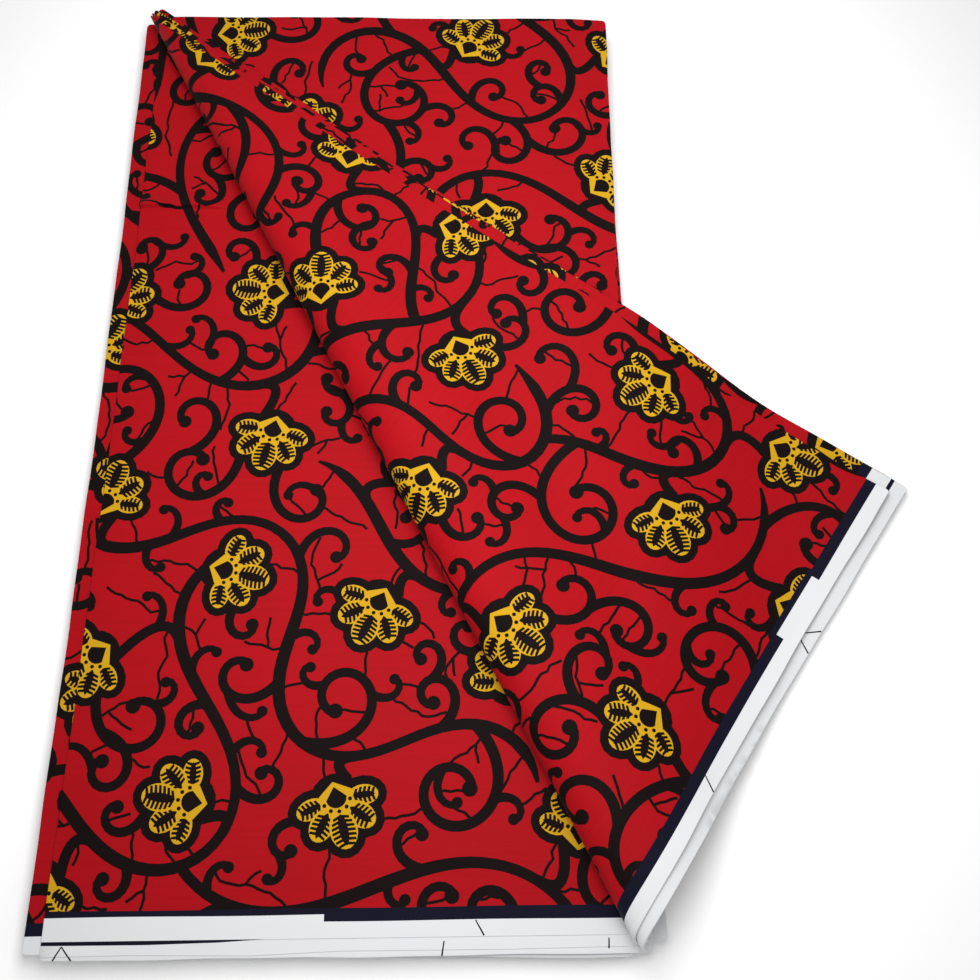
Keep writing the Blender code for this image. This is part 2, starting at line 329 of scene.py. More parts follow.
# The top and the bottom are closed with rings of faces that step inwards
CAP_RINGS = (0.96, 0.7, 0.4)
for top in (False, True):
    rim = [(len(ring_sizes) - 1) * around * top + index for index in range(around)]
    outer = rim
    for shrink in CAP_RINGS:
        inner = []
        for start in rim:
            place = middle + (Vector(hidden_points[start][:2]) - middle) * shrink
            level = HIDDEN_HEIGHT + float(settled(place.x, place.y)) if top else 0.0
            inner.append(len(hidden_points))
            hidden_points.append((place.x, place.y, level))
            hidden_places.append((place.x, place.y))
        for index in range(around):
            following = (index + 1) % around
            face = (outer[index], outer[following], inner[following], inner[index])
            hidden_faces.append(face if top else face[::-1])
            ends_white = hidden_points[outer[index]][1] < NAVY_START and outer is rim
            hidden_colours.append(WHITE if ends_white else RED)
        outer = inner
    hidden_faces.append(tuple(outer) if top else tuple(reversed(outer)))
    hidden_colours.append(RED)

hidden_cloth = cloth_object(
    "hidden_layers_cloth", hidden_points, hidden_faces, hidden_colours, hidden_places
)
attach(hidden_cloth, "root")
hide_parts("hidden_layers")

# The second leaf
# The leaf of doubled cotton under the front one, with the same roller print on both its faces. Its left
# fold shows beside the front leaf, and the corner of its selvedge at the near end.

# Sizes of the print, in millimetres, and the flat places between which it grows
PRINT_LOW = (-8.0, 18.0)
PRINT_HIGH = (318.0, 594.0)
STEM_HALF_WIDTH = 3.1
STEM_ROOM = 23.0
SHORTEST_STEM = 80.0
STEM_TRIES = 60
# How many steps a stem may have to each side, and how many more to reach what stopped it
STEM_STEPS = 60
MORE_STEPS = 9
# The least and the most that a stem's waves swing to each side, in degrees, and how long they are
STEM_SWING = (60, 110)
STEM_WAVE = (240, 400)
# How far a stem may run out of the print, and how deep into the ground of a blossom
STEM_MARGIN = 12.0
BLOSSOM_DEPTH = 12.0
BLOSSOM_TRIES = 1500
BLOSSOM_SPACING = 80.0
BLOSSOM_ROOM = 24.5
BLOSSOM_MIDDLE = 7.5
# Where strokes leave a blossom, and how far it may be from the stem that it joins
BLOSSOM_ROOT = 16.5
STALK_REACH = 75.0
CRACKLE_HALF_WIDTH = 0.78
CRACKLE_ROOM = 6.5
CRACKLE_TRIES = 1500
BARE_SPOTS = 45
BARE_REACH = 7.0
CRACKLE_STEP = 3.4
# How far a crackle line may drift and kink at each step
CRACKLE_DRIFT = 0.32
CRACKLE_KINK = 0.42
# One step along a curl. The steps of a stem are twice as long.
STEP = 3.0
# Over this distance from its root, a curl may touch the stretch near the root of the stroke it leaves
SHORTEST_FREE = 13.0
LONGEST_FREE = 24.0
PARENT_REACH = 30.0
# How far round a path to look for what is drawn, and the gap where there is nothing
LOOK_REACH = 36.0
FAR_AWAY = 1000.0
HALO = 4.6
RAY_SPACING = 2.3
RAY_HALF_WIDTH = 0.84
RAY_TIP_HALF_WIDTH = RAY_HALF_WIDTH * 0.8
RAY_RISE = 1.2
PETAL_RIM = 1.1
# The vein's half width is this share of the petal's, and it stops short of the petal's ends
VEIN_SHARE = 0.33
VEIN_STOP = 1.6
CUP_HALO = (13.5, 12.5)
# The dots over the cup: how many, how far from it, and how they turn round it, in degrees
DOTS = 5
DOT_RADIUS = 1.1
DOT_DISTANCE = 7.3
FIRST_DOT = -70
DOT_TURN = 35

# The kinds of curl, the longest first. Root, tip and club are half widths, and room is the least gap.
Curl = namedtuple("Curl", "shortest longest least_turn most_turn root tip club room tries")
CURLS = [
    Curl(130, 175, 330, 420, 3.1, 2.5, 4.2, 4.2, 1000),
    Curl(88, 122, 300, 370, 3.0, 2.4, 4.1, 3.8, 1000),
    Curl(56, 80, 250, 320, 2.9, 2.3, 3.9, 3.3, 1800),
    Curl(34, 50, 200, 270, 2.8, 2.1, 3.6, 2.8, 2400),
    Curl(18, 28, 120, 190, 2.6, 1.8, 3.0, 2.5, 1600),
]

# How a stem that joins nothing may end, as the length of its curl and how far that turns
STEM_ENDS = [(90.0, 330.0), (60.0, 280.0), (36.0, 200.0), (24.0, 140.0)]
STEM_END_TIP = 2.6
STEM_END_CLUB = 4.2
# How far such a curl stays from its own stem, and from all else
STEM_END_GAP = 10.0
STEM_END_ROOM = 3.5

# A blossom's petals, as they turn and stand off round the foot of its fan
Petal = namedtuple("Petal", "turn distance half_width half_length")
PETALS = [
    Petal(80, 14.2, 5.3, 7.9),
    Petal(-80, 14.2, 5.3, 7.9),
    Petal(41, 15.6, 6.3, 8.8),
    Petal(-41, 15.6, 6.3, 8.8),
    Petal(0, 16.8, 7.3, 9.9),
]


def unit(vector):
    return vector / np.hypot(*vector)


def heading_of(vector):
    return math.atan2(vector[1], vector[0])


def turned(vector, degrees):
    angle = math.radians(degrees)
    across = vector[0] * math.cos(angle) - vector[1] * math.sin(angle)
    up = vector[0] * math.sin(angle) + vector[1] * math.cos(angle)
    return np.array([across, up])


def walk(start, headings, step):
    """Points from the start, one step at each heading."""
    moves = np.column_stack([np.cos(headings), np.sin(headings)]) * step
    return np.vstack([start, start + np.cumsum(moves, axis=0)])


def inside_of(headings, bend):
    """The way to the inside of a curl at its last heading."""
    return turned((math.cos(headings[-1]), math.sin(headings[-1])), 90 * bend)


def distances(path, points):
    """How far each point of a path is from each of the points."""
    return np.hypot(path[:, None, 0] - points[None, :, 0], path[:, None, 1] - points[None, :, 1])


class Print:
    """One leaf's print as it grows: first the blossoms, then the stems between them, the curls that fill
    the ground between those, and last the crackle."""

    def __init__(self, seed, low, high):
        self.chance = random.Random(seed)
        self.low = np.array(low, float)
        self.high = np.array(high, float)
        self.blossoms = []
        self.facing = []
        self.strokes = []
        self.clubs = []
        self.crackles = []
        # every drawn point as x, y, half width and the number of its stroke, or less than 0 in a blossom
        self.drawn = np.zeros((0, 4))
        self.place_blossoms()
        self.grow_stems()
        self.join_blossoms()
        self.grow_curls()
        self.fill_bare_spots()
        self.grow_crackle()

    def random_spot(self):
        share = np.array([self.chance.random(), self.chance.random()])
        return self.low + (self.high - self.low) * share

    def inside(self, point, margin):
        return bool(np.all(point > self.low - margin) and np.all(point < self.high + margin))

    def note(self, points, widths, number):
        rows = np.column_stack([points, widths, np.full(len(points), number)])
        self.drawn = np.vstack([self.drawn, rows])

    def room(self, path, widths, parent=None, free=LONGEST_FREE):
        """The gap from each point of a path to what is drawn. Near its start its parent doesn't count."""
        low, high = path.min(axis=0) - LOOK_REACH, path.max(axis=0) + LOOK_REACH
        close = np.all((self.drawn[:, :2] > low) & (self.drawn[:, :2] < high), axis=1)
        drawn = self.drawn[close]
        if len(drawn) == 0:
            return np.full(len(path), FAR_AWAY)
        away = distances(path, drawn) - widths[:, None] - drawn[None, :, 2]
        if parent is not None:
            gone = np.arange(len(path)) * np.hypot(*(path[1] - path[0]))
            near = np.hypot(*(drawn[:, :2] - path[0]).T) < drawn[:, 2] + PARENT_REACH
            own = drawn[:, 3] == parent
            away[(gone[:, None] < free) & (near & own)[None, :]] = FAR_AWAY
        return away.min(axis=1)

    def keep(self, path, widths):
        self.strokes.append((path, widths))
        number = len(self.strokes)
        self.note(path, widths, number)
        self.note((path[1:] + path[:-1]) / 2, (widths[1:] + widths[:-1]) / 2, number)
        return number

    def place_blossoms(self):
        for _ in range(BLOSSOM_TRIES):
            spot = self.random_spot()
            if all(np.hypot(*(spot - other)) > BLOSSOM_SPACING for other in self.blossoms):
                self.blossoms.append(spot)
        for number, spot in enumerate(self.blossoms):
            self.note(spot[None, :], [BLOSSOM_ROOM], -1 - number)

    def stem_candidate(self):
        """A long wavy line through a random spot, cut where it would meet something."""
        spot = self.random_spot()
        heading = self.chance.uniform(0, 2 * math.pi)
        swing = math.radians(self.chance.uniform(*STEM_SWING))
        wave = self.chance.uniform(*STEM_WAVE)
        phase = self.chance.uniform(0, 2 * math.pi)
        along = np.arange(-STEM_STEPS, STEM_STEPS) * 2 * STEP
        headings = heading + swing * np.sin(2 * math.pi * along / wave + phase)
        forth = walk(spot, headings[STEM_STEPS:], 2 * STEP)
        back = walk(spot, headings[STEM_STEPS - 1::-1] + math.pi, 2 * STEP)
        path = np.vstack([back[:0:-1], forth])
        away = distances(path, self.drawn) - STEM_HALF_WIDTH - self.drawn[None, :, 2]
        # a stem may pass close to a blossom, but not to another stem
        away[:, self.drawn[:, 3] > 0] -= STEM_ROOM
        outside = np.any((path < self.low - STEM_MARGIN) | (path > self.high + STEM_MARGIN), axis=1)
        stop = (away.min(axis=1) < 0.5) | outside
        middle = len(back) - 1
        if stop[middle]:
            return None
        before = np.nonzero(stop[:middle])[0]
        after = np.nonzero(stop[middle:])[0]
        first = before[-1] + 1 if len(before) else 0
        last = middle + after[0] - 1 if len(after) else len(path) - 1
        return last - first, first, last, path

    def run_on(self, path, index, step):
        """Takes a stem's end on along its path until it joins what stopped it, and gives that place and
        whether it did."""
        start = index
        depth = np.where(self.drawn[:, 3] < 0, BLOSSOM_DEPTH, 0.0)
        for _ in range(MORE_STEPS):
            if not 0 <= index + step < len(path):
                break
            index += step
            away = np.hypot(*(self.drawn[:, :2] - path[index]).T) - self.drawn[:, 2] + depth
            if away.min() < 0.0 or not self.inside(path[index], STEM_MARGIN):
                return index, True
        return start, False

    def grow_stems(self):
        while True:
            found = [self.stem_candidate() for _ in range(STEM_TRIES)]
            found = [candidate for candidate in found if candidate is not None]
            if not found:
                return
            length, first, last, path = max(found, key=lambda candidate: candidate[0])
            if length * 2 * STEP < SHORTEST_STEM:
                return
            start, start_joined = self.run_on(path, first, -1)
            end, end_joined = self.run_on(path, last, 1)
            stem = path[start:end + 1]
            along = np.arange(len(stem)) * 2 * STEP
            widths = STEM_HALF_WIDTH * (1.0 + 0.12 * np.sin(along / 31.0 + self.chance.uniform(0, 6.28)))
            if not end_joined:
                stem, widths = self.curl_end(stem, widths)
            if not start_joined:
                stem, widths = self.curl_end(stem[::-1], widths[::-1])
            self.keep(stem, widths)

    def curl_end(self, path, widths):
        """Ends a stem that joins nothing in a curl, or in a point where there is no room for one."""
        ahead = path[-1] - path[-2]
        for length, turn in STEM_ENDS:
            for bend in (1, -1):
                steps = int(length / STEP)
                share = (np.arange(steps) + 0.5) / steps
                headings = heading_of(ahead) + bend * math.radians(turn) * share ** 1.5
                more = walk(path[-1], headings, STEP)[1:]
                more_widths = np.linspace(STEM_HALF_WIDTH, STEM_END_TIP, len(more))
                own = distances(more[7:], path[:-1]).min()
                if own > STEM_END_GAP and self.room(more, more_widths).min() > STEM_END_ROOM:
                    self.clubs.append((more[-1] + inside_of(headings, bend) * 1.3, STEM_END_CLUB))
                    return np.vstack([path, more]), np.concatenate([widths, more_widths])
        tapered = widths.copy()
        tapered[-4:] *= np.linspace(1.0, 0.3, 4)
        return path, tapered

    def join_to_stem(self, number, spot, stem, index, away):
        """A short bent stalk from a blossom to a place on a stem, if its way is free. Gives its foot."""
        path = self.strokes[stem][0]
        target = path[index]
        ahead = unit(path[index + 1] - path[index - 1])
        reach = (target - spot) / away
        if ahead.dot(reach) < 0:
            ahead = -ahead
        start = spot + reach * BLOSSOM_ROOT
        bend = target - ahead * min(30.0, away * 0.5)
        share = np.linspace(0.0, 1.0, 14)[:, None]
        stalk = (1 - share) ** 2 * start + 2 * share * (1 - share) * bend + share ** 2 * target
        others = self.drawn[(self.drawn[:, 3] != -1 - number) & (self.drawn[:, 3] != stem + 1)]
        if (distances(stalk, others) - others[None, :, 2]).min() < STEM_HALF_WIDTH + 4.0:
            return None
        self.keep(stalk, np.full(len(stalk), STEM_HALF_WIDTH - 0.2))
        return bend - spot

    def join_blossoms(self):
        """Turns each blossom's foot towards the nearest stem that it can reach, and joins the two."""
        stems = len(self.strokes)
        for number, spot in enumerate(self.blossoms):
            options = []
            for stem in range(stems):
                away = np.hypot(*(self.strokes[stem][0] - spot).T)
                for index in range(4, len(away) - 4, 3):
                    if away[index] < STALK_REACH:
                        options.append((away[index], stem, index))
            options.sort(key=lambda option: option[0])
            foot = turned((0.0, -1.0), self.chance.uniform(-180, 180))
            if options and options[0][0] < BLOSSOM_ROOM + STEM_HALF_WIDTH - 4.0:
                foot = self.strokes[options[0][1]][0][options[0][2]] - spot
                foot = turned(foot, self.chance.uniform(-25, 25))
            else:
                for away, stem, index in options[:24]:
                    found = self.join_to_stem(number, spot, stem, index, away)
                    if found is not None:
                        foot = found
                        break
            self.facing.append(math.degrees(heading_of(-foot)) - 90.0)

    def root_places(self):
        """Where a curl may leave: a point, the way the stroke runs there, and the stroke's number."""
        places = []
        for number, (path, _widths) in enumerate(self.strokes):
            for index in range(2, len(path) - 2):
                places.append((path[index], unit(path[index + 1] - path[index - 1]), number + 1))
        for number, spot in enumerate(self.blossoms):
            for turn in range(0, 360, 20):
                out = turned((1.0, 0.0), turn)
                places.append((spot + out * BLOSSOM_ROOT, turned(out, 90), -1 - number))
        return places

    def try_curl(self, kind, places, towards=None):
        """Grows one curl from one of the places if it has room, and passes the spot if one is given."""
        root, ahead, parent = self.chance.choice(places)
        side = self.chance.choice((-1, 1))
        leave = turned(ahead * self.chance.choice((-1, 1)), side * self.chance.uniform(24, 56))
        length = self.chance.uniform(kind.shortest, kind.longest)
        turn = self.chance.uniform(kind.least_turn, kind.most_turn)
        bend = self.chance.choice((-1, 1, 1)) * side
        if not self.inside(root, 15.0):
            return False
        steps = max(8, int(length / STEP))
        share = (np.arange(steps) + 0.5) / steps
        # a curl bends ever more towards its tip
        progress = 0.3 * share + 0.7 * share ** 2
        headings = heading_of(leave) + bend * math.radians(turn) * progress
        path = walk(root, headings, length / steps)
        if towards is not None and np.hypot(*(path - towards).T).min() > BARE_REACH:
            return False
        widths = np.linspace(kind.root, kind.tip, len(path))
        free = min(LONGEST_FREE, max(SHORTEST_FREE, 0.4 * length))
        if self.room(path, widths, parent, free).min() < kind.room:
            return False
        number = self.keep(path, widths)
        club = path[-1] + inside_of(headings, bend) * (kind.club - kind.tip) * 0.8
        self.clubs.append((club, kind.club))
        self.note(club[None, :], [kind.club], number)
        return True

    def grow_curls(self):
        for kind in CURLS:
            places = self.root_places()
            for attempt in range(kind.tries):
                if attempt % 300 == 299:
                    places = self.root_places()
                self.try_curl(kind, places)

    def fill_bare_spots(self):
        """Grows a curl into each of the widest bare spots that are left."""
        for _ in range(BARE_SPOTS):
            spots = np.array([self.random_spot() for _ in range(120)])
            gaps = (distances(spots, self.drawn) - self.drawn[None, :, 2]).min(axis=1)
            spot = spots[gaps.argmax()]
            places = [place for place in self.root_places() if np.hypot(*(place[0] - spot)) < 48.0]
            for attempt in range(90 if places else 0):
                kind = CURLS[2 + attempt // 30]
                if self.try_curl(kind, places, spot):
                    break

    def grow_crackle(self):
        """Fine broken lines, as where the wax cracked, from the strokes across the ground."""
        places = self.root_places()
        for _ in range(CRACKLE_TRIES):
            root, ahead, parent = self.chance.choice(places)
            side = turned(ahead, self.chance.choice((-1, 1)) * self.chance.uniform(60, 120))
            steps = self.chance.randrange(6, 15)
            drift = np.cumsum([self.chance.uniform(-CRACKLE_DRIFT, CRACKLE_DRIFT) for _ in range(steps)])
            kinks = np.array([self.chance.uniform(-CRACKLE_KINK, CRACKLE_KINK) for _ in range(steps)])
            headings = heading_of(side) + 0.7 * drift + kinks
            if not self.inside(root, 5.0):
                continue
            path = walk(root, headings, CRACKLE_STEP)
            gaps = self.room(path, np.full(len(path), CRACKLE_HALF_WIDTH), parent, free=9.0)
            met = np.nonzero(gaps < -0.5)[0]
            if len(met):
                path = path[:met[0] + 1]
            if len(path) < 5 or self.crackle_gap(path) < CRACKLE_ROOM:
                continue
            self.crackles.append(path)
            if len(path) > 6 and self.chance.random() < 0.7:
                fork = self.chance.randrange(2, len(path) - 3)
                away = headings[fork] + self.chance.choice((-1, 1)) * self.chance.uniform(0.7, 1.2)
                bits = self.chance.randrange(3, 6)
                turns = np.array([away + self.chance.uniform(-0.35, 0.35) for _ in range(bits)])
                branch = walk(path[fork], turns, CRACKLE_STEP)
                if self.room(branch, np.full(len(branch), CRACKLE_HALF_WIDTH)).min() > 0.5:
                    self.crackles.append(branch)

    def crackle_gap(self, path):
        if not self.crackles:
            return FAR_AWAY
        return distances(path, np.vstack(self.crackles)).min()


def ellipse(centre, half_width, half_length, turn, points):
    """An ellipse whose long way points along the turn, counted from straight up."""
    angles = np.linspace(0.0, 2 * math.pi, points, endpoint=False)
    outline = np.column_stack([half_width * np.cos(angles), half_length * np.sin(angles)])
    return turned(outline.T, turn).T + centre


def petal_shapes(petal, middle, way):
    """A yellow petal with a dark vein along it and dark rays to both sides."""
    shapes = [(YELLOW, ellipse(middle, petal.half_width, petal.half_length, way, 18))]
    rays = int((petal.half_length - 2.0) / RAY_SPACING)
    for ray in range(-rays, rays + 1):
        height = ray * RAY_SPACING
        share = math.sqrt(1.0 - (height / (petal.half_length - 0.4)) ** 2)
        reach = (petal.half_width - PETAL_RIM) * share
        tip = height + RAY_RISE
        chevron = [
            (0.0, height - RAY_HALF_WIDTH),
            (reach, tip - RAY_TIP_HALF_WIDTH),
            (reach, tip + RAY_TIP_HALF_WIDTH),
            (0.0, height + RAY_HALF_WIDTH),
            (-reach, tip + RAY_TIP_HALF_WIDTH),
            (-reach, tip - RAY_TIP_HALF_WIDTH),
        ]
        shapes.append((BLACK, turned(np.array(chevron).T, way).T + middle))
    share = np.linspace(-1.0, 1.0, 7)
    swell = petal.half_width * VEIN_SHARE * np.sqrt(np.maximum(1.0 - share ** 2, 0.0))
    right = np.column_stack([swell, share * (petal.half_length - VEIN_STOP)])
    left = (right * (-1.0, 1.0))[-2:0:-1]
    shapes.append((BLACK, turned(np.vstack([right, left]).T, way).T + middle))
    return shapes


# The cup at a blossom's foot is an arc that comes to a point
CupPart = namedtuple("CupPart", "dye radius low_angle points foot")
CUP_PARTS = [
    CupPart(YELLOW, 9.0, -15.0, 15, -8.2),
    CupPart(BLACK, 5.5, 6.0, 9, -5.6),
]


def blossom_shapes(spot, facing):
    """One blossom: a fan of five petals over a dotted cup, in a dark halo."""
    cup = spot - turned((0.0, BLOSSOM_MIDDLE), facing)
    middles = [cup + turned((0.0, petal.distance), facing + petal.turn) for petal in PETALS]
    shapes = [(BLACK, ellipse(cup, *CUP_HALO, facing, 16))]
    for petal, middle in zip(PETALS, middles):
        halo = ellipse(middle, petal.half_width + HALO, petal.half_length + HALO, facing + petal.turn, 16)
        shapes.append((BLACK, halo))
    for petal, middle in zip(PETALS, middles):
        shapes += petal_shapes(petal, middle, facing + petal.turn)
    for part in CUP_PARTS:
        arc = np.radians(np.linspace(part.low_angle, 180.0 - part.low_angle, part.points))
        outline = np.vstack([np.column_stack([np.cos(arc), np.sin(arc)]) * part.radius, [[0.0, part.foot]]])
        shapes.append((part.dye, turned(outline.T, facing).T + cup))
    for dot in range(DOTS):
        place = cup + turned((0.0, DOT_DISTANCE), facing + FIRST_DOT + DOT_TURN * dot)
        shapes.append((BLACK, ellipse(place, DOT_RADIUS, DOT_RADIUS, 0.0, 8)))
    return shapes


def cross(first, second):
    return first[:, 0] * second[:, 1] - first[:, 1] * second[:, 0]


def turns_left(corners):
    """How far each corner of an outline turns to the left, as twice the area of its triangle."""
    return cross(corners - np.roll(corners, 1, axis=0), np.roll(corners, -1, axis=0) - corners)


def stroke_shapes(path, widths, colour):
    """A stroke as a row of four-sided shapes, or of triangles where it bends sharply."""
    ahead = np.gradient(path, axis=0)
    ahead /= np.hypot(*ahead.T)[:, None]
    aside = np.column_stack([-ahead[:, 1], ahead[:, 0]]) * widths[:, None]
    left = path + aside
    right = path - aside
    shapes = []
    for index in range(len(path) - 1):
        corners = np.array([right[index], right[index + 1], left[index + 1], left[index]])
        if min(turns_left(corners)) > 0.01:
            shapes.append((colour, corners))
            continue
        for half in (corners[[0, 1, 2]], corners[[0, 2, 3]]):
            if min(turns_left(half)) > 0.01:
                shapes.append((colour, half))
        shapes.append((colour, ellipse(path[index], widths[index], widths[index], 0.0, 10)))
    return shapes


def print_shapes(seed):
    """All the shapes of a leaf's print, each a dye and an outline, with later ones on top."""
    made = Print(seed, PRINT_LOW, PRINT_HIGH)
    shapes = []
    for path in made.crackles:
        shapes += stroke_shapes(path, np.full(len(path), CRACKLE_HALF_WIDTH), BLACK)
    for path, widths in made.strokes:
        shapes += stroke_shapes(path, widths, BLACK)
    for centre, radius in made.clubs:
        shapes.append((BLACK, ellipse(centre, radius, radius, 0.0, 14)))
    for spot, facing in zip(made.blossoms, made.facing):
        shapes += blossom_shapes(spot, facing)
    return shapes


# A leaf's four corners as it lies flat, and the middle of its bowed left side
Leaf = namedtuple("Leaf", "near_left near_right far_right far_left left_middle")
LEAF_CORNER = 2.0
LEAF_EDGE_STEP = 5.0
# How far a leaf's edges waver, in long and in short waves
LONG_WAVER = 0.22
SHORT_WAVER = 0.12


def leaf_outline(leaf, seed):
    """The edge of a leaf, counter-clockwise from its near left corner: rounded corners, a bowed left
    side, and edges that waver a little."""
    corners = [np.array(corner, float) for corner in leaf[:4]]
    bow = np.array(leaf.left_middle, float)
    sway = random.Random(seed)
    phases = [sway.uniform(0, 6.28) for _ in range(8)]
    points = []
    for side in range(4):
        start, end = corners[side], corners[(side + 1) % 4]
        length = np.hypot(*(end - start))
        out = np.array([end[1] - start[1], start[0] - end[0]]) / length
        steps = int(length / LEAF_EDGE_STEP)
        for step in range(steps + 1):
            share = (LEAF_CORNER + (length - 2 * LEAF_CORNER) * step / steps) / length
            spot = start + (end - start) * share
            if side == 3:
                spot = spot + (bow - (start + end) / 2) * 4.0 * share * (1.0 - share)
            calm = min(1.0, step / 4, (steps - step) / 4)
            waver = math.sin(share * length / 21.0 + phases[side]) * LONG_WAVER
            waver += math.sin(share * length / 8.3 + phases[side + 4]) * SHORT_WAVER
            points.append(spot + out * waver * calm)
        onward = unit(corners[(side + 2) % 4] - end)
        points.append(end - ((end - start) / length - onward) * LEAF_CORNER * 0.3)
    return np.array(points)


# A band's edges by how far they are from the selvedge, and its ends by how far they are across the leaf
Band = namedtuple("Band", "dye nearer farther first last")
BAND_WAVER = 0.16
BAND_STEP = 6.0


def from_selvedge(leaf, across, away):
    """The place at this distance across the leaf and away from its selvedge."""
    start, end = np.array(leaf.near_left, float), np.array(leaf.near_right, float)
    ahead = unit(end - start)
    return start + ahead * across + np.array([-ahead[1], ahead[0]]) * away


def band_shapes(leaf, bands, seed):
    """The plain bands along a selvedge, each with slightly wavering edges."""
    sway = random.Random(seed)
    shapes = []
    for band in bands:
        phase = sway.uniform(0, 6.28)
        edges = []
        for away in (band.nearer, band.farther):
            line = []
            steps = max(1, int((band.last - band.first) / BAND_STEP))
            for step in range(steps + 1):
                across = band.first + (band.last - band.first) * step / steps
                waver = BAND_WAVER * math.sin(across / 19.0 + phase + away) if away > 0 else 0.0
                line.append(from_selvedge(leaf, across, away + waver))
            edges.append(line)
        shapes.append((band.dye, np.array(edges[0] + edges[1][::-1])))
    return shapes


# Points closer than this, in millimetres, are one point
SAME_PLACE = 1e-4
# Points inside a leaf at this spacing let its plain stretches bend
GRID_SPACING = 9.0


def outline_area(corners):
    return float(np.sum(cross(corners, np.roll(corners, -1, axis=0))) / 2)


def flat_triangles(outline, shapes, lines):
    """Cuts a flat leaf along the edges of its printed shapes and along some lines. Gives its points,
    its triangles and the dye of each triangle."""
    points = [tuple(point) for point in outline]
    faces = [list(range(len(points)))]
    dyes = [RED]
    low, high = outline.min(axis=0) - 1.0, outline.max(axis=0) + 1.0
    for dye, shape in shapes:
        if np.any(shape.max(axis=0) < low) or np.any(shape.min(axis=0) > high):
            continue
        faces.append(list(range(len(points), len(points) + len(shape))))
        points += [tuple(point) for point in shape]
        dyes.append(dye)
    edges = []
    for start, end in lines:
        edges.append((len(points), len(points) + 1))
        points += [tuple(start), tuple(end)]
    for x in np.arange(low[0], high[0], GRID_SPACING):
        for y in np.arange(low[1], high[1], GRID_SPACING):
            points.append((x, y))
    vectors = [Vector(point) for point in points]
    found = geometry.delaunay_2d_cdt(vectors, edges, faces, 0, SAME_PLACE, True)
    flat = np.array([(point.x, point.y) for point in found[0]])
    triangles = np.array(found[2])
    sources_of = found[5]
    sides = flat[triangles[:, 1:]] - flat[triangles[:, :1]]
    area = cross(sides[:, 0], sides[:, 1]) / 2
    # a shape whose outline didn't hold would colour the whole leaf, so it is left out
    covered = np.zeros(len(faces))
    for sources, size in zip(sources_of, area):
        covered[sources] += size
    given = np.array(points)
    drawn = np.array([outline_area(given[face]) for face in faces])
    leaks = set(np.nonzero(covered > 1.05 * drawn + 0.5)[0].tolist())
    colours = []
    keep = []
    for sources, size in zip(sources_of, area):
        sound = [source for source in sources if source not in leaks]
        keep.append(0 in sound and size > 1e-7)
        colours.append(dyes[max(sound)] if sound else RED)
    keep = np.array(keep)
    used, triangles = np.unique(triangles[keep], return_inverse=True)
    return flat[used], triangles.reshape(-1, 3), np.array(colours)[keep]


# How far a leaf's edge stands out between its two faces
EDGE_BULGE = 0.35


def printed_leaf(name, outline, shapes, place, lines=()):
    """A leaf as a thin closed shell with the print on both faces and a soft rounded edge. place puts
    flat points on the leaf's upper face (0), middle (0.5) or lower face (1) as they lay flat."""
    flat, triangles, colours = flat_triangles(outline, shapes, lines)
    count = len(flat)
    sides = np.vstack([triangles[:, [0, 1]], triangles[:, [1, 2]], triangles[:, [2, 0]]])
    owners = np.tile(np.arange(len(triangles)), 3)
    keys = np.sort(sides, axis=1)
    order = np.lexsort((keys[:, 1], keys[:, 0]))
    same = np.all(keys[order][1:] == keys[order][:-1], axis=1)
    paired = np.zeros(len(order), bool)
    paired[order[1:][same]] = True
    paired[order[:-1][same]] = True
    rim = sides[~paired]
    rim_colours = colours[owners[~paired]]
    ahead = flat[rim[:, 1]] - flat[rim[:, 0]]
    away = np.column_stack([ahead[:, 1], -ahead[:, 0]]) / np.hypot(*ahead.T)[:, None]
    outward = np.zeros((count, 2))
    np.add.at(outward, rim[:, 0], away)
    np.add.at(outward, rim[:, 1], away)
    on_rim = np.unique(rim)
    outward = outward[on_rim] / np.maximum(np.hypot(*outward[on_rim].T), 0.1)[:, None]
    middle_flat = flat[on_rim] + outward * EDGE_BULGE
    middle_number = np.zeros(count, int)
    middle_number[on_rim] = np.arange(len(on_rim)) + 2 * count
    points = np.vstack([place(flat, 0.0), place(flat, 1.0), place(middle_flat, 0.5)])
    upper = triangles
    lower = triangles[:, ::-1] + count
    first, second = rim[:, 0], rim[:, 1]
    to_middle = np.column_stack([second, first, middle_number[first], middle_number[second]])
    to_lower = np.column_stack([middle_number[second], middle_number[first], first + count, second + count])
    faces = upper.tolist() + lower.tolist() + to_middle.tolist() + to_lower.tolist()
    all_colours = np.concatenate([colours, colours, rim_colours, rim_colours])
    places = np.vstack([flat, flat, middle_flat])
    return cloth_object(name, points, faces, all_colours, places)


def only_near_edges(shapes, leaf, reach):
    """Leaves out the shapes in the middle of a leaf, which lie under other leaves."""
    low = np.array([min(leaf.near_left[0], leaf.left_middle[0]), leaf.near_left[1]]) + reach
    high = np.array([leaf.far_right[0], leaf.far_right[1]]) - reach
    kept = []
    for dye, outline in shapes:
        middle = outline.mean(axis=0)
        if np.any(middle < low) or np.any(middle > high):
            kept.append((dye, outline))
    return kept


def lying_flat(base, thickness, fine_shape=None):
    """Gives a function that puts a leaf's points on the pack, its underside at this height. fine_shape
    adds to the height of the upper face and of the lower one."""
    def place(flat, depth):
        height = base + thickness * (1.0 - depth) + settled(flat[:, 0], flat[:, 1])
        if fine_shape is not None:
            upper, lower = fine_shape(flat)
            height = height + upper * (1.0 - depth) + lower * depth
        return np.column_stack([flat, height])
    return place


SECOND_LEAF = Leaf((-2.5, 2.6), (320, 9.5), (306, 584), (0, 586), (1, 300))
SECOND_LEAF_BASE = 11.1
FLAT_LEAF_WALL = 1.0
SECOND_LEAF_BANDS = [
    Band(NAVY, -4.0, 14.8, -5, 300),
    Band(WHITE, -4.0, 20.0, 298, 330),
    Band(WHITE, -4.0, 8.6, -5, 330),
]


